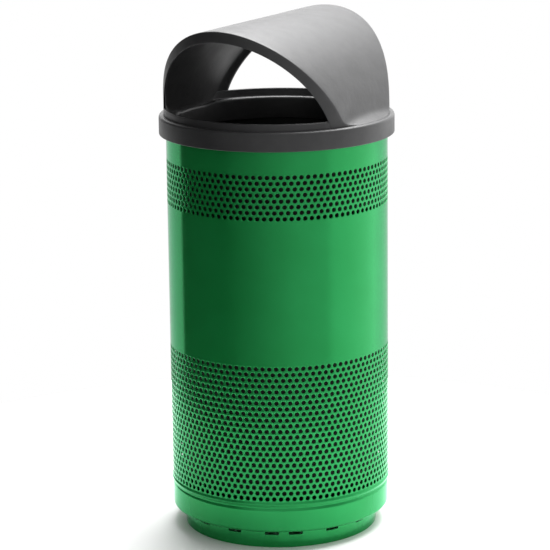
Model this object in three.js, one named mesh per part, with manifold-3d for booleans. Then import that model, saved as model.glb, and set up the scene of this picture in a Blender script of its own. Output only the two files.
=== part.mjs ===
// Dome top waste receptacle: a perforated steel can on a slotted base ring, with a rigid liner
// and a moulded dome lid that is open at both ends.
// Millimetres, +Z up. The origin is the centre of the base ring on the floor, and the hood
// opens towards -Y and +Y.

import * as THREE from 'three';
import { mergeGeometries, mergeVertices } from 'three/addons/utils/BufferGeometryUtils.js';
import Module from 'manifold-3d';

const wasm = await Module();
wasm.setup();

// ---- driving dimensions ---------------------------------------------------------------

// fits
const FIT = 0.3;                    // between pieces that touch or are welded together
const SHEET = 2;                    // steel sheet of the can

// perforated shell
const CAN_RADIUS = 236.5;           // outside of the rolled sheet
const CAN_HEIGHT = 895;             // floor to the top of the rim hoop
const HOOP_THICKNESS = 10;          // round bar of the rim hoop
const HOLE_COLUMNS = 28;            // coarse stand-in for the 104 holes in each real row
const HOLE_SHARE = 2 / 3;           // hole width over hole spacing: 3/8 in holes on 9/16 in centres
const LOWER_ZONE_HEIGHT = 294;
const UPPER_ZONE_HEIGHT = 96;
const TOP_LAND = 72;                // plain sheet between the upper zone and the top edge
const SEAM_LAND = 16;               // plain strip that the welded back seam needs
const BEAD_HEIGHT = 9;
const BEAD_PROUD = 3;
const BEAD_TO_HOLES = 0.5;

// pressed pan and base ring
const PAN_BASE = 37;                // floor to the underside of the pan
const PAN_KNUCKLE = 23;             // outside radius between the skirt and the pan's floor
const SKIRT_HEIGHT = 66;            // underside of the pan to the bottom edge of the shell
const LAP = 8;                      // how far the skirt runs up inside the shell
const DRAIN_DIAMETER = 14;
const DRAIN_INSET = 59;             // from the ring's outside in to the drains' centres
const DRAIN_COUNT = 4;
const RING_INSET = 2.2;             // from the start of the pan's knuckle in to the ring
const RING_THICKNESS = 3;
const SLOT_COUNT = 16;
const SLOT_WIDTH = 30;
const SLOT_DEPTH = 8.7;
const RING_JOINT_STEP = 14;         // degrees between the two slots beside the ring's welded joint
const RING_JOINT_ANGLE = 31;        // degrees round from the front

// liner
const LINER_WALL = 3.5;
const LINER_TO_HOOP = 2.5;          // radial clearance, so the liner lifts out
const LINER_FLOOR_GAP = 6;          // the liner hangs this far above the pan's floor
const LINER_DRAFT = 14;             // how much smaller the liner's radius is at the bottom
const LINER_CORNER = 15;
const FLANGE_THICKNESS = 4;
const FLANGE_LIP = 3;               // thickness of the down-turned lip
const FLANGE_LIP_DROP = 9;

// dome lid
const LID_WALL = 5;
const BAND_CLEARANCE = 2.5;         // radial, round the liner's flange
const BAND_DROP = 36;               // how far the band hangs below the ledge's underside
const BAND_CORNER = 6;
const LEDGE_WIDTH = 10.8;           // from the band's outside to the hood
const CHUTE_CLEARANCE = 9.5;        // radial, inside the liner's mouth
const CHUTE_DROP = 44;              // chute's bottom edge below the ledge's underside
const LIP_CORNER = 6;
const SILL_HEIGHT = 14.4;
const SILL_WIDTH = 19;
const SILL_CREST = 7;               // width of the sill's rounded top
const SILL_CORNER = 4;
const HOOD_SIDE_STEP = 19.5;        // arch's widest half width, in from the hood's plan radius
const HOOD_RISE = 243;              // the arch's other half axis
const HOOD_SPRING_DROP = 41;        // arch centre below the ledge
const HOOD_FLARE_HEIGHT = 13;       // foot of the hood, where it spreads over the ledge
const RIM_FACE_SIDE = 16.5;         // in-turned face round each opening, at the feet
const RIM_FACE_TOP = 24;            // and at the crown

// resolution
const FACETS = 2 * HOLE_COLUMNS;    // shared by every round piece, so that the fits stay even
const CORNER_STEPS = 3;
const ARCH_STEPS = 18;              // per half arch
const FLARE_STEPS = 4;
const HOOP_SIDES = 6;

// ---- places that follow from them -----------------------------------------------------

const SHELL_BASE = PAN_BASE + SKIRT_HEIGHT;
const SHELL_TOP = CAN_HEIGHT - HOOP_THICKNESS - FIT;
const LOWER_ZONE_BASE = SHELL_BASE + BEAD_HEIGHT + BEAD_TO_HOLES;
const UPPER_ZONE_BASE = SHELL_TOP - TOP_LAND - UPPER_ZONE_HEIGHT;
const PAN_RADIUS = CAN_RADIUS - SHEET - FIT;
const RING_RADIUS = PAN_RADIUS - PAN_KNUCKLE - RING_INSET;
const LINER_RADIUS = CAN_RADIUS - SHEET / 2 - HOOP_THICKNESS / 2 - LINER_TO_HOOP;
const LINER_BASE = PAN_BASE + SHEET + LINER_FLOOR_GAP;
const FLANGE_BASE = CAN_HEIGHT + FIT;
const FLANGE_TOP = FLANGE_BASE + FLANGE_THICKNESS;
const HOOP_OUTSIDE = CAN_RADIUS - SHEET / 2 + HOOP_THICKNESS / 2;
const FLANGE_RADIUS = HOOP_OUTSIDE + FIT + FLANGE_LIP;
const LEDGE_UNDERSIDE = FLANGE_TOP + FIT;
const LEDGE = LEDGE_UNDERSIDE + LID_WALL;
const BAND_RADIUS = FLANGE_RADIUS + BAND_CLEARANCE + LID_WALL;
const CHUTE_RADIUS = LINER_RADIUS - LINER_WALL - CHUTE_CLEARANCE - LID_WALL;
const HOOD_RADIUS = BAND_RADIUS - LEDGE_WIDTH;
const HOOD_HALF_WIDTH = HOOD_RADIUS - HOOD_SIDE_STEP;
const HOOD_SPRING = LEDGE - HOOD_SPRING_DROP;
const HOOD_FOOT = HOOD_HALF_WIDTH * Math.sqrt(1 - (HOOD_SPRING_DROP / HOOD_RISE) ** 2);
const HOOD_FLARE_WIDTH = HOOD_RADIUS - HOOD_FOOT + FIT;
const HOOD_ROOT = LEDGE - LID_WALL / 2;
const HOOD_TOP = HOOD_SPRING + HOOD_RISE;
const OVERRUN = 10;                 // how far a cutter runs past what it cuts

// ---- solids and geometry --------------------------------------------------------------

function solidOf(geometry) {
  const bare = geometry.clone();
  bare.deleteAttribute('normal');
  bare.deleteAttribute('uv');
  const merged = mergeVertices(bare);
  const corners = merged.index.array;
  const triVerts = [];
  for (let i = 0; i < corners.length; i += 3) {
    const [a, b, c] = corners.subarray(i, i + 3);
    if (a !== b && b !== c && c !== a) triVerts.push(a, b, c);
  }
  const vertProperties = new Float32Array(merged.attributes.position.array);
  return new wasm.Manifold(
    new wasm.Mesh({ numProp: 3, vertProperties, triVerts: Uint32Array.from(triVerts) }),
  );
}

function geometryOf(solid) {
  const mesh = solid.getMesh();
  const geometry = new THREE.BufferGeometry();
  geometry.setAttribute('position', new THREE.BufferAttribute(mesh.vertProperties, 3));
  geometry.setIndex(new THREE.BufferAttribute(mesh.triVerts, 1));
  geometry.computeVertexNormals();
  return geometry;
}

const point = (x, y) => new THREE.Vector2(x, y);

function arc(centreX, centreY, radius, fromDegrees, toDegrees, steps = CORNER_STEPS) {
  const points = [];
  for (let i = 0; i <= steps; i += 1) {
    const angle = THREE.MathUtils.degToRad(fromDegrees + ((toDegrees - fromDegrees) * i) / steps);
    points.push(point(centreX + radius * Math.cos(angle), centreY + radius * Math.sin(angle)));
  }
  return points;
}

// Turns an outline of (radius, height) points, counter-clockwise, round the Z axis.
function revolve(outline) {
  const first = outline[0];
  const onAxis = first.x === 0;
  const profile = onAxis ? outline : [...outline, first.clone()];
  return new THREE.LatheGeometry(profile, FACETS).rotateX(Math.PI / 2);
}

// A round bar or disc from one height to another.
function disc(radius, low, high) {
  return revolve([point(0, low), point(radius, low), point(radius, high), point(0, high)]);
}

// Pushes an outline of (x, z) points along Y, over the whole width of the lid.
function pushAlongY(outline) {
  const depth = 2 * (BAND_RADIUS + OVERRUN);
  const geometry = new THREE.ExtrudeGeometry(new THREE.Shape(outline), { depth, bevelEnabled: false });
  return geometry.rotateX(Math.PI / 2).translate(0, depth / 2, 0);
}

// A block that is centred on X and Y.
function block(sizeX, sizeY, low, high) {
  return new THREE.BoxGeometry(sizeX, sizeY, high - low).translate(0, 0, (low + high) / 2);
}

// ---- perforated shell -----------------------------------------------------------------
//
// The holes are hexagons that stand on the vertical lines between facets, every second line in
// each row. So the sheet is built facet by facet: one flat outline with a notch for each half
// hole, on the outside and the inside, joined through the sheet along its open edges.

const holeSpacing = (2 * Math.PI * CAN_RADIUS) / HOLE_COLUMNS;
const holeRadius = (holeSpacing * HOLE_SHARE) / 2;
const rowStep = holeSpacing * Math.sin(Math.PI / 3);
const facetAngle = (2 * Math.PI) / FACETS;
const facetWidth = 2 * CAN_RADIUS * Math.sin(facetAngle / 2);

// Heights of the staggered rows, centred in a zone.
function rowsIn(zoneBase, zoneHeight) {
  const count = Math.floor((zoneHeight - 2 * holeRadius) / rowStep) + 1;
  const lowest = zoneBase + (zoneHeight - (count - 1) * rowStep) / 2;
  return Array.from({ length: count }, (_, row) => (
    { height: lowest + row * rowStep, stagger: row % 2 }
  ));
}

// Heights of the holes that are centred on one of the lines, with none over the back seam.
function holesOnLine(line, rows) {
  const toSeam = Math.abs(line * facetAngle - Math.PI) * CAN_RADIUS;
  if (toSeam < holeRadius + SEAM_LAND / 2) return [];
  return rows.filter(({ stagger }) => stagger === line % 2).map(({ height }) => height);
}

// One facet's outline in (share of the facet's width, height) points, counter-clockwise.
function facetOutline(line, rows, base) {
  const reach = (holeRadius * Math.sin(Math.PI / 3)) / facetWidth;
  const notched = (heights, edge, side) => heights.flatMap((height) => [
    point(edge, height - side * holeRadius),
    point(edge - side * reach, height - (side * holeRadius) / 2),
    point(edge - side * reach, height + (side * holeRadius) / 2),
    point(edge, height + side * holeRadius),
  ]);
  return [
    point(0, base),
    point(1, base),
    ...notched(holesOnLine((line + 1) % FACETS, rows), 1, 1),
    point(1, SHELL_TOP),
    point(0, SHELL_TOP),
    ...notched(holesOnLine(line, rows).reverse(), 0, -1),
  ];
}

function bodyShell() {
  const rows = [
    ...rowsIn(LOWER_ZONE_BASE, LOWER_ZONE_HEIGHT),
    ...rowsIn(UPPER_ZONE_BASE, UPPER_ZONE_HEIGHT),
  ];
  const beadTop = SHELL_BASE + BEAD_HEIGHT;
  const bead = [
    { out: 0, height: SHELL_BASE },
    { out: BEAD_PROUD, height: SHELL_BASE + BEAD_HEIGHT / 3 },
    { out: BEAD_PROUD, height: beadTop - BEAD_HEIGHT / 3 },
    { out: 0, height: beadTop },
  ];
  const corners = [];
  const face = (...points) => points.forEach(({ x, y, z }) => corners.push(x, y, z));

  for (let line = 0; line < FACETS; line += 1) {
    const place = (share, height, radius) => {
      const [here, next] = [line, line + 1].map((step) => (
        new THREE.Vector3(0, -radius, height).applyAxisAngle(new THREE.Vector3(0, 0, 1), step * facetAngle)
      ));
      return here.lerp(next, share);
    };
    const outer = ({ x, y }) => place(x, y, CAN_RADIUS);
    const inner = ({ x, y }) => place(x, y, CAN_RADIUS - SHEET);

    const outline = facetOutline(line, rows, beadTop);
    THREE.ShapeUtils.triangulateShape(outline, []).forEach(([a, b, c]) => {
      face(outer(outline[a]), outer(outline[b]), outer(outline[c]));
      face(inner(outline[c]), inner(outline[b]), inner(outline[a]));
    });
    outline.forEach((from, i) => {
      const to = outline[(i + 1) % outline.length];
      const joinsNextFacet = from.x === to.x && (from.x === 0 || from.x === 1);
      if (joinsNextFacet || to.y === beadTop) return;
      face(outer(from), inner(from), inner(to));
      face(outer(from), inner(to), outer(to));
    });

    bead.slice(1).forEach((upper, i) => {
      const lower = bead[i];
      [[CAN_RADIUS, 0, 1], [CAN_RADIUS - SHEET, 1, 0]].forEach(([radius, from, to]) => {
        const [low, high] = [radius + lower.out, radius + upper.out];
        face(place(from, lower.height, low), place(to, lower.height, low), place(to, upper.height, high));
        face(place(from, lower.height, low), place(to, upper.height, high), place(from, upper.height, high));
      });
    });
    const [left, right] = [point(0, SHELL_BASE), point(1, SHELL_BASE)];
    face(outer(left), inner(left), inner(right));
    face(outer(left), inner(right), outer(right));
  }

  const geometry = new THREE.BufferGeometry();
  geometry.setAttribute('position', new THREE.Float32BufferAttribute(corners, 3));
  const closed = mergeVertices(geometry);
  closed.computeVertexNormals();
  return closed;
}

function rimHoop() {
  const radius = CAN_RADIUS - SHEET / 2;
  const hoop = new THREE.TorusGeometry(radius, HOOP_THICKNESS / 2, HOOP_SIDES, FACETS);
  return hoop.rotateZ(-Math.PI / 2).translate(0, 0, CAN_HEIGHT - HOOP_THICKNESS / 2);
}

// ---- pressed pan and base ring --------------------------------------------------------

function basePan() {
  const knuckleX = PAN_RADIUS - PAN_KNUCKLE;
  const knuckleZ = PAN_BASE + PAN_KNUCKLE;
  const panTop = SHELL_BASE + LAP;
  const pan = revolve([
    point(0, PAN_BASE),
    ...arc(knuckleX, knuckleZ, PAN_KNUCKLE, -90, 0, CORNER_STEPS + 1),
    point(PAN_RADIUS, panTop),
    point(PAN_RADIUS - SHEET, panTop),
    ...arc(knuckleX, knuckleZ, PAN_KNUCKLE - SHEET, 0, -90, CORNER_STEPS + 1),
    point(0, PAN_BASE + SHEET),
  ]);
  const drains = [];
  for (let i = 0; i < DRAIN_COUNT; i += 1) {
    const drain = new THREE.CylinderGeometry(DRAIN_DIAMETER / 2, DRAIN_DIAMETER / 2, 2 * OVERRUN, 8);
    const angle = (2 * Math.PI * (i + 0.5)) / DRAIN_COUNT;
    drains.push(drain.rotateX(Math.PI / 2).translate(RING_RADIUS - DRAIN_INSET, 0, PAN_BASE).rotateZ(angle));
  }
  return geometryOf(solidOf(pan).subtract(solidOf(mergeGeometries(drains))));
}

function baseRing() {
  const top = PAN_BASE - FIT;
  const inside = RING_RADIUS - RING_THICKNESS;
  const ring = revolve([
    point(inside, 0),
    point(RING_RADIUS, 0),
    point(RING_RADIUS, top),
    point(inside, top),
  ]);
  const slots = [];
  const slotStep = (360 - RING_JOINT_STEP) / (SLOT_COUNT - 1);
  for (let i = 0; i < SLOT_COUNT; i += 1) {
    const angle = THREE.MathUtils.degToRad(RING_JOINT_ANGLE + RING_JOINT_STEP / 2 + i * slotStep);
    const slot = new THREE.BoxGeometry(SLOT_WIDTH, 4 * OVERRUN, 2 * SLOT_DEPTH);
    slots.push(slot.translate(0, -RING_RADIUS, top).rotateZ(angle));
  }
  return geometryOf(solidOf(ring).subtract(solidOf(mergeGeometries(slots))));
}

// ---- liner ----------------------------------------------------------------------------

function liner() {
  const footRadius = LINER_RADIUS - LINER_DRAFT;
  const cornerX = footRadius - LINER_CORNER;
  const cornerZ = LINER_BASE + LINER_CORNER;
  return revolve([
    point(0, LINER_BASE),
    ...arc(cornerX, cornerZ, LINER_CORNER, -90, 0),
    point(LINER_RADIUS, FLANGE_BASE),
    point(FLANGE_RADIUS - FLANGE_LIP, FLANGE_BASE),
    point(FLANGE_RADIUS - FLANGE_LIP, FLANGE_BASE - FLANGE_LIP_DROP),
    point(FLANGE_RADIUS, FLANGE_BASE - FLANGE_LIP_DROP),
    point(FLANGE_RADIUS, FLANGE_TOP),
    point(LINER_RADIUS - LINER_WALL, FLANGE_TOP),
    ...arc(cornerX, cornerZ, LINER_CORNER - LINER_WALL, 0, -90),
    point(0, LINER_BASE + LINER_WALL),
  ]);
}

// ---- dome lid -------------------------------------------------------------------------

// Band, ledge and chute in one profile.
function lidRing() {
  const bandInside = BAND_RADIUS - LID_WALL;
  const chuteOutside = CHUTE_RADIUS + LID_WALL;
  return revolve([
    point(bandInside, LEDGE_UNDERSIDE - BAND_DROP),
    point(BAND_RADIUS, LEDGE_UNDERSIDE - BAND_DROP),
    ...arc(BAND_RADIUS - BAND_CORNER, LEDGE - BAND_CORNER, BAND_CORNER, 0, 90),
    ...arc(CHUTE_RADIUS + LIP_CORNER, LEDGE - LIP_CORNER, LIP_CORNER, 90, 180),
    point(CHUTE_RADIUS, LEDGE_UNDERSIDE - CHUTE_DROP),
    point(chuteOutside, LEDGE_UNDERSIDE - CHUTE_DROP),
    point(chuteOutside, LEDGE_UNDERSIDE),
    point(bandInside, LEDGE_UNDERSIDE),
  ]);
}

// Ridge across both openings, hollow from below as a moulding is.
function sillRidge() {
  return revolve([
    point(HOOD_RADIUS - SILL_WIDTH, HOOD_ROOT),
    point(HOOD_RADIUS, HOOD_ROOT),
    ...arc(HOOD_RADIUS - SILL_CORNER, LEDGE + SILL_HEIGHT - SILL_CORNER, SILL_CORNER, 0, 90),
    point(HOOD_RADIUS - SILL_CREST, LEDGE + SILL_HEIGHT),
    point(HOOD_RADIUS - SILL_WIDTH, LEDGE),
  ]);
}

function sillHollow() {
  const roof = LEDGE + SILL_HEIGHT - LID_WALL;
  return revolve([
    point(HOOD_RADIUS - SILL_WIDTH + LID_WALL, LEDGE_UNDERSIDE - 1),
    point(HOOD_RADIUS - LID_WALL, LEDGE_UNDERSIDE - 1),
    point(HOOD_RADIUS - LID_WALL, roof),
    point(HOOD_RADIUS - SILL_WIDTH + LID_WALL, LEDGE_UNDERSIDE + 1),
  ]);
}

// Section of the hood across its length: an ellipse whose feet spread over the ledge.
// flareDrop lowers the spread, so that the inside follows the outside.
function archOutline(halfWidth, rise, flareWidth, flareDrop) {
  const right = [];
  for (let i = 0; i <= FLARE_STEPS; i += 1) {
    const height = LEDGE + (HOOD_FLARE_HEIGHT * i) / FLARE_STEPS;
    const reach = Math.sqrt(1 - ((height - HOOD_SPRING) / rise) ** 2);
    const left = Math.max(0, 1 - (height + flareDrop - LEDGE) / HOOD_FLARE_HEIGHT);
    right.push(point(halfWidth * reach + flareWidth * left ** 2, height));
  }
  right.unshift(point(right[0].x, HOOD_ROOT));
  const start = Math.asin((LEDGE + HOOD_FLARE_HEIGHT - HOOD_SPRING) / rise);
  for (let i = 1; i <= ARCH_STEPS; i += 1) {
    const angle = start + ((Math.PI / 2 - start) * i) / ARCH_STEPS;
    right.push(point(halfWidth * Math.cos(angle), HOOD_SPRING + rise * Math.sin(angle)));
  }
  const crown = right.pop();
  const leftSide = right.map(({ x, y }) => point(-x, y)).reverse();
  return [...right, point(0, crown.y), ...leftSide];
}

// A straight elliptical vault, trimmed to the lid's round plan and shelled. Each end keeps an
// in-turned face round its opening.
function hood() {
  const outside = solidOf(pushAlongY(
    archOutline(HOOD_HALF_WIDTH, HOOD_RISE, HOOD_FLARE_WIDTH, 0),
  ));
  const inside = solidOf(pushAlongY(
    archOutline(HOOD_HALF_WIDTH - LID_WALL, HOOD_RISE - LID_WALL, HOOD_FLARE_WIDTH, LID_WALL),
  ));
  const opening = solidOf(pushAlongY(
    archOutline(HOOD_HALF_WIDTH - RIM_FACE_SIDE, HOOD_RISE - RIM_FACE_TOP, 0, 0),
  ));
  const plan = solidOf(disc(HOOD_RADIUS, HOOD_ROOT - OVERRUN, HOOD_TOP + OVERRUN));
  const core = solidOf(disc(HOOD_RADIUS - LID_WALL, HOOD_ROOT - OVERRUN, HOOD_TOP + OVERRUN));
  return outside.intersect(plan).subtract(inside.intersect(core)).subtract(opening);
}

function domeLid() {
  const footInside = HOOD_HALF_WIDTH - RIM_FACE_SIDE / 2;
  const sillSpan = solidOf(block(2 * footInside, 4 * BAND_RADIUS, 0, 2 * HOOD_TOP));
  const hollowSpan = solidOf(
    block(2 * (footInside - RIM_FACE_SIDE), 4 * BAND_RADIUS, 0, 2 * HOOD_TOP),
  );
  const lid = solidOf(lidRing())
    .add(solidOf(sillRidge()).intersect(sillSpan))
    .add(hood())
    .subtract(solidOf(sillHollow()).intersect(hollowSpan));
  return geometryOf(lid);
}

// ---- assembly -------------------------------------------------------------------------

const greenCoat = { color: 0x1f7a45, roughness: 0.28, metalness: 0.1 };
const blackPlastic = { color: 0x2c2c2d, roughness: 0.62, metalness: 0 };
const linerPlastic = { color: 0x141414, roughness: 0.55, metalness: 0 };

function part(name, geometry, finish) {
  const mesh = new THREE.Mesh(geometry, new THREE.MeshStandardMaterial(finish));
  mesh.name = name;
  return mesh;
}

const can = new THREE.Group();
can.add(
  part('body_shell', bodyShell(), greenCoat),
  part('rim_hoop', rimHoop(), greenCoat),
  part('base_pan', basePan(), greenCoat),
  part('base_ring', baseRing(), greenCoat),
);

const receptacle = new THREE.Group();
receptacle.add(
  can,
  part('liner', liner(), linerPlastic),
  part('dome_lid', domeLid(), blackPlastic),
);

export default receptacle;
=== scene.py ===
import math

import bmesh
import bpy
import numpy as np
from mathutils import Matrix, Vector


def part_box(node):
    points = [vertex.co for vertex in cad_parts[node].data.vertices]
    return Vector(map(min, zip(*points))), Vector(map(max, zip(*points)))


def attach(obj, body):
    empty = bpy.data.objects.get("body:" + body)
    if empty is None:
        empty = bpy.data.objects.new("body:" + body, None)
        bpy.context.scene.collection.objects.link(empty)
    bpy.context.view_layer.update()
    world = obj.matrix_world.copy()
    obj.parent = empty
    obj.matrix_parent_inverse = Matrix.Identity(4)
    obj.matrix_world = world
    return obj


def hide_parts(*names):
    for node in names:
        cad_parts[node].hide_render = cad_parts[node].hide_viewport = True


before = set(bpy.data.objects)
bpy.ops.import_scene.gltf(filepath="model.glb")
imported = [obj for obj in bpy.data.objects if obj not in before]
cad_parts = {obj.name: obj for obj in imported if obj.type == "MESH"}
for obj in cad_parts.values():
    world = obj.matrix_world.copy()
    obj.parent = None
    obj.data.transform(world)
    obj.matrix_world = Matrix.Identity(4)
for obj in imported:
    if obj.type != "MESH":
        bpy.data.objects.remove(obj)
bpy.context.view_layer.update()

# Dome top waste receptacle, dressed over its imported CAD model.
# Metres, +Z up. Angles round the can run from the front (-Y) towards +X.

mm = 0.001

# ---- sizes: from the frame where it has them, else read from the photograph ------------

shell_low, shell_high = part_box("body_shell")
pan_low, pan_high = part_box("base_pan")
_, foot_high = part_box("base_ring")
liner_low, liner_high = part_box("liner")
lid_low, lid_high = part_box("dome_lid")

SHEET = 2 * mm
BEAD_PROUD = 3 * mm
CAN_RADIUS = shell_high.x - BEAD_PROUD
HOOP_THICKNESS = 10 * mm

HOLES_ROUND = 104                   # 3/8 in holes on 9/16 in staggered centres
HOLE_RADIUS = 9.525 * mm / 2
HOLE_EDGE = 0.45 * mm               # rounded, coated edge of each hole
PITCH = 2 * math.pi / HOLES_ROUND
ROW_STEP = 12.3733 * mm
UPPER_ROWS, UPPER_TOP_ROW = 8, 807.9 * mm
LOWER_ROWS, LOWER_TOP_ROW = 24, 401.1 * mm
FIRST_COLUMN = math.radians(27.82)  # a column of holes stands at this angle
SEAM_HALF_WIDTH = 15 * mm           # plain strip at the back

# The skirt is flush with the can, and its neck goes up inside the shell. The photograph shows
# the bead 5 mm further down and the pan's lower edge sharper and higher than the frame has them.
BEAD_BASE = shell_low.z - 5 * mm
BEAD_SWELL = 2 * mm
PAN_RADIUS = CAN_RADIUS - 0.4 * mm
PAN_SHOULDER = BEAD_BASE - 3 * mm
PAN_BASE = pan_low.z + 4.5 * mm
PAN_KNUCKLE = 7 * mm
FOOT_THICKNESS = 3 * mm
FOOT_TOP = PAN_BASE - 0.3 * mm
SLOTS, SLOT_WIDTH, SLOT_BASE = 16, 30 * mm, 28 * mm
RING_JOINT = 14                     # degrees between the two slots beside the ring's welded joint
SLOT_STEP = math.radians((360 - RING_JOINT) / (SLOTS - 1))
FIRST_SLOT = math.radians(38)
DRAINS, DRAIN_RADIUS, DRAIN_CIRCLE = 4, 7 * mm, 150 * mm

LINER_WALL = 3.5 * mm
LINER_DRAFT = 14 * mm               # how much smaller in radius the liner is at its foot
LINER_KNUCKLE = 15 * mm
FLANGE = 4 * mm
FLANGE_LIP, FLANGE_LIP_DROP = 3 * mm, 9 * mm

WALL = 5 * mm
BAND_RADIUS = lid_high.x
LEDGE_UNDERSIDE = liner_high.z + 0.3 * mm
LEDGE = LEDGE_UNDERSIDE + WALL
BAND_DROP = 36 * mm
PLAN_RADIUS = BAND_RADIUS - 10.8 * mm   # the hood, its rim faces and the sills end here
CHUTE_RADIUS = 210 * mm
GUTTER_EDGE, GUTTER_LINE = PLAN_RADIUS - 5 * mm, PLAN_RADIUS - 10 * mm
GUTTER = 3 * mm                     # depth of the groove between the sills and the chute's lip
LIP_DIP = 5 * mm                    # how much lower the chute's lip is beside the walls
DIP_RADIUS, DIP_BLEND = PLAN_RADIUS - 17 * mm, 6 * mm   # the dip sets in inside this radius,
DIP_SIDE, DIP_SIDE_BLEND = 0.925, 0.055                 # past this sine of the angle,
DIP_REACH, DIP_FADE = 25 * mm, 15 * mm                  # and ends this far down the chute
SILL_TOP = LEDGE + 14.4 * mm
SILL_WIDTH = 12 * mm
HOOD_HALF_WIDTH = 221 * mm
HOOD_SPRING = LEDGE - 41 * mm
HOOD_RISE = lid_high.z - HOOD_SPRING
SCOOP_HEIGHT = 21 * mm              # hollow fillet between the hood's walls and the ledge
SCOOP_TIP = 6 * mm
SCOOP_ROWS, ARCH_ROWS = 8, 40       # rows of points up one foot, and on to the crown
RIM_SIDE, RIM_TOP = 17 * mm, 23.5 * mm  # width of the rim face beside the opening and above it
HOOD_EDGE = 3 * mm

FLOOR_RADIUS = 1.15
PHOTO_AZIMUTH = math.radians(29.56)

CREASE = 35                         # degrees: a sharper edge isn't smoothed
SAME_POINT = 1e-7                   # metres: corners as close as this are one

# ---- mesh helpers ----------------------------------------------------------------------

def round_can(radius, angle, height):
    """Points on circles about the can's axis."""
    radius, angle, height = np.broadcast_arrays(radius, angle, height)
    return np.stack([radius * np.sin(angle), -radius * np.cos(angle), height], axis=-1)


def quads_of(grid):
    """Quads between neighbours in a (rows, columns, 3) grid of points."""
    corners = [grid[:-1, :-1], grid[:-1, 1:], grid[1:, 1:], grid[1:, :-1]]
    return np.stack(corners, axis=2).reshape(-1, 4, 3)


def outline(*corners, steps=6):
    """Polyline through (x, z) or (x, z, fillet) corners, with true arcs for the fillets."""
    points = []
    for i, corner in enumerate(corners):
        here = np.array(corner[:2])
        if len(corner) < 3:
            points.append(here)
            continue
        back = np.array(corners[i - 1][:2]) - here
        ahead = np.array(corners[(i + 1) % len(corners)][:2]) - here
        back, ahead = back / np.linalg.norm(back), ahead / np.linalg.norm(ahead)
        half = math.acos(np.clip(back @ ahead, -1, 1)) / 2
        reach = corner[2] / math.tan(half)
        weight = math.sin(half)
        for s in np.linspace(0, 1, steps + 1):
            shares = np.array([(1 - s) ** 2, 2 * s * (1 - s) * weight, s ** 2])
            ends = np.array([here + back * reach, here, here + ahead * reach])
            points.append(shares @ ends / shares.sum())
    return np.array(points)


def cap(loop):
    """Quads across a closed loop, between its first half and its second."""
    half = len(loop) // 2
    return quads_of(np.stack([loop[:half + 1], loop[::-1][:half + 1]]))


def revolved(profile, steps=208, closed=True):
    """Quads of a counter-clockwise (radius, height) profile turned about the can's axis."""
    if closed:
        profile = np.vstack([profile, profile[:1]])
    angle = np.linspace(0, 2 * math.pi, steps + 1)
    return quads_of(round_can(profile[:, 0, None], angle[None, :], profile[:, 1, None]))


def weld(quads):
    """(vertices, faces) with corners that coincide made one, so some quads become triangles."""
    corners = quads.reshape(-1, 3)
    keys = np.round(corners / SAME_POINT).astype(np.int64)
    _, first, index = np.unique(keys, axis=0, return_index=True, return_inverse=True)
    faces = [list(dict.fromkeys(face)) for face in index.reshape(-1, 4).tolist()]
    return corners[first].tolist(), [face for face in faces if len(face) > 2]


def piece(name, quads, body, nodes, material, crease=CREASE):
    """A finished piece: closed mesh, smooth apart from its creases, on its body."""
    vertices, faces = weld(np.concatenate(quads))
    mesh = bpy.data.meshes.new(name)
    mesh.from_pydata(vertices, [], faces)
    # weld() can leave two corners apart that fell on either side of a rounding step
    closed = bmesh.new()
    closed.from_mesh(mesh)
    bmesh.ops.remove_doubles(closed, verts=closed.verts, dist=20 * SAME_POINT)
    bmesh.ops.dissolve_degenerate(closed, edges=closed.edges, dist=SAME_POINT)
    bmesh.ops.recalc_face_normals(closed, faces=closed.faces)
    closed.to_mesh(mesh)
    closed.free()
    mesh.shade_smooth()
    mesh.set_sharp_from_angle(angle=math.radians(crease))
    mesh.materials.append(material)
    thing = bpy.data.objects.new(name, mesh)
    bpy.context.scene.collection.objects.link(thing)
    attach(thing, body)
    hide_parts(*nodes)
    return thing


def cut(thing, quads):
    """Cuts closed meshes out of a piece, for good."""
    vertices, faces = weld(np.concatenate(quads))
    mesh = bpy.data.meshes.new("cutter")
    mesh.from_pydata(vertices, [], faces)
    cutter = bpy.data.objects.new("cutter", mesh)
    bpy.context.scene.collection.objects.link(cutter)
    modifier = thing.modifiers.new("cut", "BOOLEAN")
    modifier.object = cutter
    modifier.solver = "EXACT"
    graph = bpy.context.evaluated_depsgraph_get()
    result = bpy.data.meshes.new_from_object(thing.evaluated_get(graph))
    thing.modifiers.clear()
    old, thing.data = thing.data, result
    result.name = thing.name
    result.set_sharp_from_angle(angle=math.radians(CREASE))
    bpy.data.objects.remove(cutter)
    bpy.data.meshes.remove(mesh)
    bpy.data.meshes.remove(old)


def block(width, depth, low, high, radius, angle):
    """Quads of a block that is centred on a circle about the can's axis."""
    x, y, z = width / 2, depth / 2, (low, high)
    ring = np.array([(-x, -y), (x, -y), (x, y), (-x, y), (-x, -y)])
    turn = np.array([[math.cos(angle), math.sin(angle)], [-math.sin(angle), math.cos(angle)]])
    plan = (ring + [0, -radius]) @ turn
    sides = np.stack([np.column_stack([plan, np.full(5, height)]) for height in z])
    caps = np.stack([sides[0, 3::-1], sides[1, :4]])
    return np.concatenate([quads_of(sides), caps])


# ---- materials -------------------------------------------------------------------------

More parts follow.
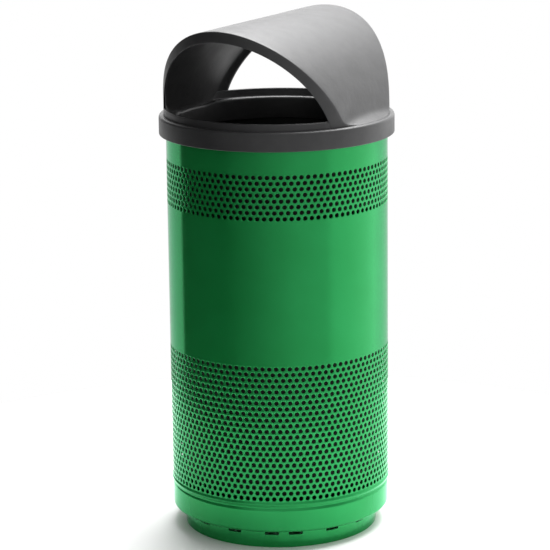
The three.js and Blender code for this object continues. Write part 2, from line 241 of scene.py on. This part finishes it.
class Finish:
    """A procedural material: one Principled shader with noise on colour, gloss and relief."""

    MIDDLE = (0.3, 0.7)             # the part of a noise that is spread over a range

    def __init__(self, name):
        self.material = bpy.data.materials.new(name)
        self.material.use_nodes = True
        self.nodes = self.material.node_tree.nodes
        self.links = self.material.node_tree.links
        self.shader = self.nodes["Principled BSDF"]
        self.place = self.nodes.new("ShaderNodeTexCoord").outputs["Object"]

    def noise(self, scale, detail=2.0, stretch=(1, 1, 1)):
        mapping = self.nodes.new("ShaderNodeMapping")
        mapping.inputs["Scale"].default_value = stretch
        noise = self.nodes.new("ShaderNodeTexNoise")
        noise.inputs["Scale"].default_value = scale
        noise.inputs["Detail"].default_value = detail
        self.links.new(self.place, mapping.inputs["Vector"])
        self.links.new(mapping.outputs["Vector"], noise.inputs["Vector"])
        return noise.outputs["Fac"]

    def colours(self, value, dark, light):
        """Base colour from dark to light over a noise."""
        ramp = self.nodes.new("ShaderNodeValToRGB")
        for stop, place, colour in zip(ramp.color_ramp.elements, self.MIDDLE, (dark, light)):
            stop.position = place
            stop.color = (*colour, 1)
        self.links.new(value, ramp.inputs["Fac"])
        self.links.new(ramp.outputs["Color"], self.shader.inputs["Base Color"])

    def gloss(self, value, low, high):
        """Roughness from low to high over a noise."""
        node = self.nodes.new("ShaderNodeMapRange")
        sockets = ("From Min", "From Max", "To Min", "To Max")
        for socket, number in zip(sockets, (*self.MIDDLE, low, high)):
            node.inputs[socket].default_value = number
        self.links.new(value, node.inputs["Value"])
        self.links.new(node.outputs["Result"], self.shader.inputs["Roughness"])

    def relief(self, *layers):
        """Bump from (noise, depth in metres) layers."""
        normal = None
        for value, depth in layers:
            bump = self.nodes.new("ShaderNodeBump")
            bump.inputs["Strength"].default_value = 1
            bump.inputs["Distance"].default_value = depth
            self.links.new(value, bump.inputs["Height"])
            if normal:
                self.links.new(normal, bump.inputs["Normal"])
            normal = bump.outputs["Normal"]
        self.links.new(normal, self.shader.inputs["Normal"])


def green_powder_coat():
    finish = Finish("green_powder_coat")
    finish.shader.inputs["Metallic"].default_value = 0.55
    finish.shader.inputs["Specular IOR Level"].default_value = 0.75
    finish.shader.inputs["Specular Tint"].default_value = (0.45, 1.0, 0.72, 1)
    finish.colours(finish.noise(9, 3), (0.009, 0.238, 0.050), (0.012, 0.260, 0.060))
    finish.gloss(finish.noise(30, 2), 0.09, 0.14)
    finish.relief(
        (finish.noise(14, 1, (1, 1, 0.12)), 0.35 * mm),
        (finish.noise(420, 2), 0.006 * mm),
    )
    return finish.material


def textured_lid_plastic():
    finish = Finish("textured_lid_plastic")
    finish.colours(finish.noise(38, 4), (0.017, 0.017, 0.018), (0.023, 0.023, 0.024))
    finish.gloss(finish.noise(25, 3), 0.40, 0.48)
    finish.relief(
        (finish.noise(90, 4), 0.26 * mm),
        (finish.noise(260, 3), 0.16 * mm),
        (finish.noise(1100, 3), 0.12 * mm),
    )
    return finish.material


def liner_plastic():
    finish = Finish("liner_plastic")
    finish.shader.inputs["Specular IOR Level"].default_value = 0.2
    finish.colours(finish.noise(20, 3), (0.004, 0.005, 0.004), (0.006, 0.008, 0.006))
    finish.gloss(finish.noise(40, 3), 0.42, 0.55)
    finish.relief((finish.noise(300, 3), 0.05 * mm))
    return finish.material


# ---- perforated shell ------------------------------------------------------------------

def hole_cell():
    """Rings of (along, up, depth) points round one hole, from the outer skin to the inner."""
    half, quarter, up = PITCH * CAN_RADIUS / 2, PITCH * CAN_RADIUS / 4, ROW_STEP / 2
    border = np.array([
        (half, 0), (half, up), (quarter, up), (0, up), (-quarter, up), (-half, up),
        (-half, 0), (-half, -up), (-quarter, -up), (0, -up), (quarter, -up), (half, -up),
    ])
    turn = np.radians(np.arange(12) * 30)
    circle = np.column_stack([np.cos(turn), np.sin(turn)])
    rings = [
        (border, 0),
        (circle * (HOLE_RADIUS + HOLE_EDGE), 0),
        (circle * (HOLE_RADIUS + HOLE_EDGE * 0.3), HOLE_EDGE * 0.3),
        (circle * HOLE_RADIUS, HOLE_EDGE),
        (circle * HOLE_RADIUS, SHEET),
        (border, SHEET),
    ]
    level = np.ones(len(border))
    cell = np.stack([np.column_stack([plan, level * depth]) for plan, depth in rings])
    return np.concatenate([cell, cell[:, :1]], axis=1)


def perforated_zone(rows, top_row):
    """Quads of one perforated zone. Cells over the back seam stay plain."""
    cell = hole_cell()
    quads = []
    for row in range(rows):
        height = top_row - row * ROW_STEP
        # every second row stands half a hole to the side
        angles = FIRST_COLUMN + (np.arange(HOLES_ROUND) + (row % 2) / 2) * PITCH
        from_seam = np.abs((angles % (2 * math.pi)) - math.pi) * CAN_RADIUS
        plain = from_seam < SEAM_HALF_WIDTH + HOLE_RADIUS
        centres = angles[~plain][:, None, None]
        points = round_can(
            CAN_RADIUS - cell[None, ..., 2],
            centres + cell[None, ..., 0] / CAN_RADIUS,
            height + cell[None, ..., 1],
        )
        for ring in range(cell.shape[0] - 1):
            outer, inner = points[:, ring], points[:, ring + 1]
            corners = [outer[:, :-1], outer[:, 1:], inner[:, 1:], inner[:, :-1]]
            quads.append(np.stack(corners, axis=2).reshape(-1, 4, 3))
        for angle in angles[plain]:
            columns = angle + np.linspace(-0.5, 0.5, 5) * PITCH
            levels = height + np.linspace(-0.5, 0.5, 3) * ROW_STEP
            for radius, order in ((CAN_RADIUS, 1), (CAN_RADIUS - SHEET, -1)):
                skin = round_can(radius, columns[None, :], levels[:, None])
                quads.append(quads_of(skin[::order]))
    return np.concatenate(quads)


def plain_band(profile):
    """Quads of a stretch of sheet without holes, whose columns meet those of the zones."""
    columns = FIRST_COLUMN + np.linspace(0, 1, 4 * HOLES_ROUND + 1) * 2 * math.pi
    profile = np.asarray(profile)
    return quads_of(round_can(profile[:, 0, None], columns[None, :], profile[:, 1, None]))


def body_shell(coat):
    """The sheet: two perforated zones, the plain bands round them and the rolled bead."""
    inside = CAN_RADIUS - SHEET
    upper_top = UPPER_TOP_ROW + ROW_STEP / 2
    upper_base = upper_top - UPPER_ROWS * ROW_STEP
    lower_top = LOWER_TOP_ROW + ROW_STEP / 2
    lower_base = lower_top - LOWER_ROWS * ROW_STEP
    top, base = shell_high.z, BEAD_BASE
    edge = 0.6 * mm
    swell = np.linspace(0, 1, 17)
    bead = np.column_stack([
        CAN_RADIUS + BEAD_SWELL * (1 - np.cos(swell * 2 * math.pi)) / 2,
        base + edge + (lower_base - base - edge) * swell,
    ])
    quads = [
        perforated_zone(UPPER_ROWS, UPPER_TOP_ROW),
        perforated_zone(LOWER_ROWS, LOWER_TOP_ROW),
        plain_band(bead),
        plain_band([(CAN_RADIUS, lower_top), (CAN_RADIUS, upper_base)]),
        plain_band([
            (CAN_RADIUS, upper_top), (CAN_RADIUS, top - edge), (CAN_RADIUS - edge, top),
            (inside + edge, top), (inside, top - edge), (inside, upper_top),
        ]),
        plain_band([(inside, upper_base), (inside, lower_top)]),
        plain_band([
            (inside, lower_base), (inside, base + edge), (inside + edge, base),
            (CAN_RADIUS - edge, base), (CAN_RADIUS, base + edge),
        ]),
    ]
    return piece("perforated_shell", quads, "can", ["body_shell"], coat, crease=30)


def rim_hoop(coat):
    """Round bar on the sheet's top edge."""
    centre = np.array([CAN_RADIUS - SHEET / 2, shell_high.z + 0.3 * mm + HOOP_THICKNESS / 2])
    turn = np.radians(np.arange(24) * 15)
    bar = centre + np.column_stack([np.cos(turn), np.sin(turn)]) * HOOP_THICKNESS / 2
    return piece("rim_hoop_bar", [revolved(bar)], "can", ["rim_hoop"], coat)


# ---- pressed pan and base ring ---------------------------------------------------------

def base_pan(coat):
    """Floor with drains, rounded knuckle, skirt, and a neck that goes up inside the sheet."""
    radius, neck, low, high = PAN_RADIUS, pan_high.x, PAN_BASE, pan_high.z
    inside, shoulder = neck - SHEET, PAN_SHOULDER
    skirt_top, skirt_bend, neck_bend = shoulder - 5 * mm, 12 * mm, 8 * mm
    profile = outline(
        (0, low),
        (radius, low, PAN_KNUCKLE),
        (radius, skirt_top, skirt_bend),
        (neck, shoulder, neck_bend),
        (neck, high),
        (inside, high),
        (inside, shoulder),
        (radius - SHEET, skirt_top),
        (radius - SHEET, low + SHEET, PAN_KNUCKLE - SHEET),
        (0, low + SHEET),
        steps=8,
    )
    quads = [revolved(profile, closed=False)]
    pan = piece("pressed_pan", quads, "can", ["base_pan"], coat)
    drains = []
    for i in range(DRAINS):
        angle = (i + 0.5) * 2 * math.pi / DRAINS
        drain = revolved(outline(
            (0, low - SHEET), (DRAIN_RADIUS, low - SHEET), (DRAIN_RADIUS, low + 2 * SHEET),
            (0, low + 2 * SHEET),
        ), 24, closed=False)
        drains.append(drain + round_can(DRAIN_CIRCLE, angle, 0.0))
    cut(pan, drains)
    return pan


def base_ring(coat):
    """Ring under the pan, with slots in its top edge."""
    radius, top = foot_high.x, FOOT_TOP
    edge = 0.8 * mm
    profile = outline(
        (radius - FOOT_THICKNESS, 0, edge), (radius, 0, edge),
        (radius, top, edge), (radius - FOOT_THICKNESS, top, edge),
        steps=3,
    )
    ring = piece("slotted_ring", [revolved(profile)], "can", ["base_ring"], coat)
    through = 20 * mm
    slots = []
    for i in range(SLOTS):
        angle = FIRST_SLOT + i * SLOT_STEP
        slots.append(block(SLOT_WIDTH, through, SLOT_BASE, top + SHEET, radius, angle))
    cut(ring, slots)
    return ring


# ---- liner -----------------------------------------------------------------------------

def liner(plastic):
    """Tapered bucket that hangs by its flange on the hoop."""
    flange_base = liner_high.z - FLANGE
    beside_hoop = 2.5 * mm
    mouth = CAN_RADIUS - SHEET / 2 - HOOP_THICKNESS / 2 - beside_hoop
    foot = mouth - LINER_DRAFT
    low, outer = liner_low.z, liner_high.x
    lip_base = flange_base - FLANGE_LIP_DROP
    profile = outline(
        (0, low),
        (foot, low, LINER_KNUCKLE),
        (mouth, flange_base, 1.5 * mm),
        (outer - FLANGE_LIP, flange_base),
        (outer - FLANGE_LIP, lip_base, 1 * mm),
        (outer, lip_base, 1 * mm),
        (outer, liner_high.z, 2 * mm),
        (mouth - LINER_WALL, liner_high.z, 3 * mm),
        (foot - LINER_WALL, low + LINER_WALL, LINER_KNUCKLE - LINER_WALL),
        (0, low + LINER_WALL),
        steps=5,
    )
    quads = [revolved(profile, closed=False)]
    return piece("rigid_liner", quads, "liner", ["liner"], plastic)


# ---- dome lid --------------------------------------------------------------------------

def smooth_step(value):
    """From 0 to 1 as value does, with level ends."""
    value = np.clip(value, 0, 1)
    return value * value * (3 - 2 * value)


def lip_drop(points):
    """How much the ledge is lowered towards the chute's lip, beside the hood's walls."""
    radius = np.hypot(points[..., 0], points[..., 1])
    near_lip = smooth_step((DIP_RADIUS - radius) / DIP_BLEND)
    beside_wall = smooth_step((np.abs(points[..., 0]) / radius - DIP_SIDE) / DIP_SIDE_BLEND)
    return LIP_DIP * near_lip * beside_wall


def lid_ring():
    """Band, ledge, lip and chute. The lip is lower beside the hood's walls than at the openings."""
    band_inside, band_base = BAND_RADIUS - WALL, LEDGE_UNDERSIDE - BAND_DROP
    chute_outside = CHUTE_RADIUS + WALL
    edge, hollow, shoulder = 1.5 * mm, 3 * mm, 6 * mm
    profile = outline(
        (band_inside, band_base, edge),
        (BAND_RADIUS, band_base, edge),
        (BAND_RADIUS, LEDGE, shoulder),
        (GUTTER_EDGE, LEDGE),
        (GUTTER_LINE, LEDGE - GUTTER),
        (CHUTE_RADIUS, LEDGE, shoulder),
        (CHUTE_RADIUS, lid_low.z, edge),
        (chute_outside, lid_low.z, edge),
        (chute_outside, LEDGE_UNDERSIDE, hollow),
        (band_inside, LEDGE_UNDERSIDE, hollow),
        steps=8,
    )
    profile = np.vstack([profile, profile[:1]])
    angle = np.linspace(0, 2 * math.pi, 361)
    points = round_can(profile[:, 0, None], angle[None, :], profile[:, 1, None])
    above = smooth_step((profile[:, 1] - LEDGE + DIP_REACH) / DIP_FADE)
    points[..., 2] -= lip_drop(points) * above[:, None]
    return quads_of(points)


def sill(front):
    """Ridge across one opening, sunk into the ledge and at its ends into the hood's walls."""
    outside, inside = PLAN_RADIUS - 0.3 * mm, PLAN_RADIUS - SILL_WIDTH
    crest, foot = PLAN_RADIUS - 6 * mm, PLAN_RADIUS - 9 * mm
    base, gutter = LEDGE - WALL * 0.8, LEDGE - GUTTER
    edge, hollow = 2.5 * mm, 3 * mm
    profile = outline(
        (inside, base),
        (outside, base),
        (outside, SILL_TOP, edge),
        (crest, SILL_TOP, edge),
        (foot, gutter, hollow),
        (inside, gutter - 0.5 * mm),
        steps=6,
    )
    profile = np.vstack([profile, profile[:1]])
    reach = math.radians(70)
    angle = np.linspace(-reach, reach, 121) + (0 if front else math.pi)
    points = round_can(profile[:, 0, None], angle[None, :], profile[:, 1, None])
    # the walls are 5 mm thick, and the ends are squared off inside them
    limit = HOOD_HALF_WIDTH - 7 * mm
    points[..., 0] = np.clip(points[..., 0], -limit, limit)
    ends = [cap(points[:-1, 0]), cap(points[:-1, -1])]
    return np.concatenate([quads_of(points), *ends])


def arch_rows():
    """(wall x, height, outward normal, scoop share) from the right foot over to the left one."""
    rows = []
    for share in np.linspace(0, 1, SCOOP_ROWS + 1)[:-1]:
        height = LEDGE + SCOOP_HEIGHT * share
        rows.append((math.asin((height - HOOD_SPRING) / HOOD_RISE), (1 - share) ** 3))
    start = math.asin((LEDGE + SCOOP_HEIGHT - HOOD_SPRING) / HOOD_RISE)
    rows += [(angle, 0) for angle in np.linspace(start, math.pi / 2, ARCH_ROWS + 1)]
    places = []
    for angle, scoop in rows:
        x, z = HOOD_HALF_WIDTH * math.cos(angle), HOOD_SPRING + HOOD_RISE * math.sin(angle)
        normal = np.array([math.cos(angle) / HOOD_HALF_WIDTH, math.sin(angle) / HOOD_RISE])
        places.append((x, z, normal / np.linalg.norm(normal), scoop))
    x, z, normal, scoop = places[0]
    places.insert(0, (x, z - WALL / 2, normal, scoop))
    mirrored = [(-x, z, normal * [-1, 1], scoop) for x, z, normal, scoop in places[-2::-1]]
    return places + mirrored


def bent(start, corner, end, steps):
    """Points of a rounded corner, without its two ends."""
    s = np.linspace(0, 1, steps + 2)[1:-1, None]
    return (1 - s) ** 2 * start + 2 * s * (1 - s) * corner + s ** 2 * end


def hood_section(x, z, normal, scoop):
    """Outer skin, rim face, back face and inner skin, as one half loop for each opening."""
    side = 1 if x >= 0 else -1
    foot = HOOD_HALF_WIDTH * math.sqrt(1 - ((LEDGE - HOOD_SPRING) / HOOD_RISE) ** 2)
    rise = np.clip((z - LEDGE) / (lid_high.z - LEDGE), 0, 1)
    width = RIM_SIDE + (RIM_TOP - RIM_SIDE) * rise ** 3
    plan, behind = PLAN_RADIUS, PLAN_RADIUS - WALL

    edge_x = abs(x)
    if scoop:
        edge_x = foot + (abs(x) - foot + SCOOP_TIP * scoop) / (1 - scoop / 2)
    edge_y = math.sqrt(plan ** 2 - edge_x ** 2)
    bend = min(HOOD_EDGE, edge_y / 3)

    def skin(y):
        reach = math.sqrt(plan ** 2 - y ** 2)
        spread = scoop * (reach - foot + max(0, SCOOP_TIP - (reach - foot) / 2))
        out = min(abs(x) + spread, reach)
        return np.array([side * out, y, z])

    def on_cylinder(depth, radius):
        inward = np.array([x, z]) - depth * normal
        return np.array([inward[0], math.sqrt(radius ** 2 - inward[0] ** 2), inward[1]])

    corner = np.array([side * edge_x, edge_y, z])
    start = abs(x) - edge_x
    lip = 2.2 * mm
    face = [on_cylinder(depth, plan) for depth in np.linspace(start + bend, width - lip, 5)]
    tip_out, tip_in = on_cylinder(width, plan), on_cylinder(width, behind)
    tip = (tip_out + tip_in) / 2
    back = [on_cylinder(depth, behind) for depth in np.linspace(width - lip, WALL + lip, 4)]
    inner_corner = on_cylinder(WALL, behind)
    inner_end = inner_corner[1] - lip
    skin_points = 13
    half = [skin(y) for y in np.linspace(0, edge_y - bend, skin_points)]
    half += [*bent(half[-1], corner, face[0], 4), *face]
    half += [*bent(face[-1], tip_out, tip, 3), tip, *bent(tip, tip_in, back[0], 3), *back]
    inner_y = np.linspace(inner_end, 0, skin_points)
    inner = [np.array([inner_corner[0], y, inner_corner[2]]) for y in inner_y]
    half += [*bent(back[-1], inner_corner, inner[0], 2), *inner]
    half = np.array(half)
    return half, half * [1, -1, 1]


def hood():
    """The vault: sections joined from foot to foot, each foot closed and sunk into the ledge."""
    sections = [hood_section(*row) for row in arch_rows()]
    quads = []
    sunk = LEDGE - GUTTER - 1 * mm
    # the second half is a mirror image, so its loops are turned round
    for half, order in ((0, 1), (1, -1)):
        grid = np.stack([section[half] for section in sections])[:, ::order]
        for foot in (grid[0], grid[-1]):
            foot[:, 2] = sunk - lip_drop(foot)
        quads.append(quads_of(grid)[:, ::-1])
        quads += [cap(grid[0]), cap(grid[-1])]
    return np.concatenate(quads)


def dome_lid(plastic):
    quads = [lid_ring(), sill(True), sill(False), hood()]
    return piece("moulded_lid", quads, "lid", ["dome_lid"], plastic, crease=40)


# ---- stage -----------------------------------------------------------------------------

def camera():
    """The photograph's camera, fitted to the holes: metres, radians, and focal length in pixels."""
    distance, height, pitch, yaw, roll = 5.28739, 1.8069, 0.2338, -0.0014, -0.012
    focal, width_px = 2512.70, 550
    level_part = math.cos(pitch)
    ahead = Vector((math.sin(yaw) * level_part, math.cos(yaw) * level_part, -math.sin(pitch)))
    level = Vector((math.cos(yaw), -math.sin(yaw), 0))
    right = math.cos(roll) * level + math.sin(roll) * level.cross(ahead)
    up = right.cross(ahead)
    axes = Matrix((right, up, -ahead)).transposed().to_4x4()
    data = bpy.data.cameras.new("camera")
    data.sensor_width = 36
    data.lens = focal / width_px * data.sensor_width
    thing = bpy.data.objects.new("camera", data)
    thing.matrix_world = (
        Matrix.Rotation(PHOTO_AZIMUTH, 4, "Z") @ Matrix.Translation((0, -distance, height)) @ axes
    )
    bpy.context.scene.collection.objects.link(thing)
    bpy.context.scene.camera = thing


def floor():
    finish = Finish("pale_floor")
    finish.colours(finish.noise(3, 2), (0.86, 0.86, 0.86), (0.90, 0.90, 0.90))
    finish.gloss(finish.noise(6, 2), 0.6, 0.7)
    corners = 96
    turn = np.linspace(0, 2 * math.pi, corners + 1)[:-1]
    rim = [(FLOOR_RADIUS * math.cos(angle), FLOOR_RADIUS * math.sin(angle), 0) for angle in turn]
    mesh = bpy.data.meshes.new("floor")
    mesh.from_pydata(rim, [], [range(corners)])
    mesh.materials.append(finish.material)
    thing = bpy.data.objects.new("floor", mesh)
    bpy.context.scene.collection.objects.link(thing)


def seen_from_camera(right, away, up):
    """A place given as the photographer would: to the right, away from the camera, and up."""
    return Matrix.Rotation(PHOTO_AZIMUTH, 3, "Z") @ Vector((right, away, up))


def softbox(name, place, size, power, aim):
    """A square light that hangs at a place seen from the camera, and points at aim."""
    data = bpy.data.lights.new(name, "AREA")
    data.shape = "RECTANGLE"
    data.size, data.size_y = size
    data.energy = power
    thing = bpy.data.objects.new(name, data)
    thing.location = seen_from_camera(*place)
    thing.rotation_euler = (Vector(aim) - thing.location).to_track_quat("-Z", "Y").to_euler()
    bpy.context.scene.collection.objects.link(thing)


# Brightness of the studio round the object, from behind it as the camera sees it (0) by the
# left (0.25), the camera itself (0.5) and the right (0.75) to behind it again (1). Upright faces
# mirror the low walls, below the horizon, and the hood's top mirrors the high ones.
LOW_WALLS = [
    (0.000, 0.70), (0.090, 1.00), (0.164, 1.05), (0.174, 0.05), (0.340, 0.05), (0.430, 0.28),
    (0.500, 0.58), (0.555, 0.82), (0.640, 1.04), (0.665, 1.45), (0.740, 1.75),
    (0.830, 2.1), (0.870, 1.5), (0.930, 0.95), (1.000, 0.70),
]
HIGH_WALLS = [
    (0.000, 1.90), (0.045, 2.20), (0.080, 0.80), (0.120, 0.10), (0.360, 0.12), (0.430, 0.75),
    (0.550, 0.85), (0.640, 0.50), (0.710, 0.85), (0.800, 1.90), (0.900, 2.40), (1.000, 1.90),
]


def studio():
    """White surroundings for the camera, and walls of different brightness for everything else."""
    world = bpy.data.worlds.new("studio")
    bpy.context.scene.world = world
    world.use_nodes = True
    nodes, links = world.node_tree.nodes, world.node_tree.links
    nodes.clear()

    def node(kind, **settings):
        made = nodes.new("ShaderNode" + kind)
        for key, value in settings.items():
            setattr(made, key, value)
        return made

    place = node("TexCoord").outputs["Generated"]
    split = node("SeparateXYZ")
    links.new(place, split.inputs[0])
    turn = node("Math", operation="ARCTAN2")
    links.new(split.outputs["Y"], turn.inputs[0])
    links.new(split.outputs["X"], turn.inputs[1])
    # 0 behind the object as the camera sees it, rising to the left, round to 1
    offset = node("Math", operation="SUBTRACT")
    offset.inputs[1].default_value = math.pi / 2 + PHOTO_AZIMUTH
    share = node("Math", operation="DIVIDE")
    share.inputs[1].default_value = 2 * math.pi
    wrap = node("Math", operation="FRACT")
    links.new(turn.outputs[0], offset.inputs[0])
    links.new(offset.outputs[0], share.inputs[0])
    links.new(share.outputs[0], wrap.inputs[0])
    brightest = max(level for walls in (LOW_WALLS, HIGH_WALLS) for _, level in walls)

    def ring_of_walls(walls):
        made = node("ValToRGB")
        ramp = made.color_ramp
        while len(ramp.elements) < len(walls):
            ramp.elements.new(0.5)
        for stop, (position, level) in zip(ramp.elements, walls):
            stop.position = position
            stop.color = (*[level / brightest] * 3, 1)
        links.new(wrap.outputs[0], made.inputs["Fac"])
        return made.outputs["Color"]

    # the low walls turn into the high ones just below the horizon
    height = node("MapRange", interpolation_type="SMOOTHSTEP")
    height.inputs["From Min"].default_value = -0.17
    height.inputs["From Max"].default_value = -0.02
    links.new(split.outputs["Z"], height.inputs["Value"])
    walls = node("Mix", data_type="RGBA")
    links.new(height.outputs["Result"], walls.inputs["Factor"])
    links.new(ring_of_walls(LOW_WALLS), walls.inputs["A"])
    links.new(ring_of_walls(HIGH_WALLS), walls.inputs["B"])

    seen = node("Background")
    seen.inputs["Color"].default_value = (1, 1, 1, 1)
    seen.inputs["Strength"].default_value = 1.0
    lit = node("Background")
    lit.inputs["Strength"].default_value = brightest
    links.new(walls.outputs["Result"], lit.inputs["Color"])
    mix = node("MixShader")
    ray = node("LightPath")
    links.new(ray.outputs["Is Camera Ray"], mix.inputs["Fac"])
    links.new(lit.outputs[0], mix.inputs[1])
    links.new(seen.outputs[0], mix.inputs[2])
    out = node("OutputWorld")
    links.new(mix.outputs[0], out.inputs["Surface"])

    softbox("softbox_top", place=(0.6, 0.8, 3.2), size=(2.8, 2.0), power=220, aim=(0, 0, 0.9))


def main():
    coat = green_powder_coat()
    body_shell(coat)
    rim_hoop(coat)
    base_pan(coat)
    base_ring(coat)
    liner(liner_plastic())
    dome_lid(textured_lid_plastic())
    camera()
    floor()
    studio()
    bpy.context.scene.view_settings.view_transform = "Standard"


main()
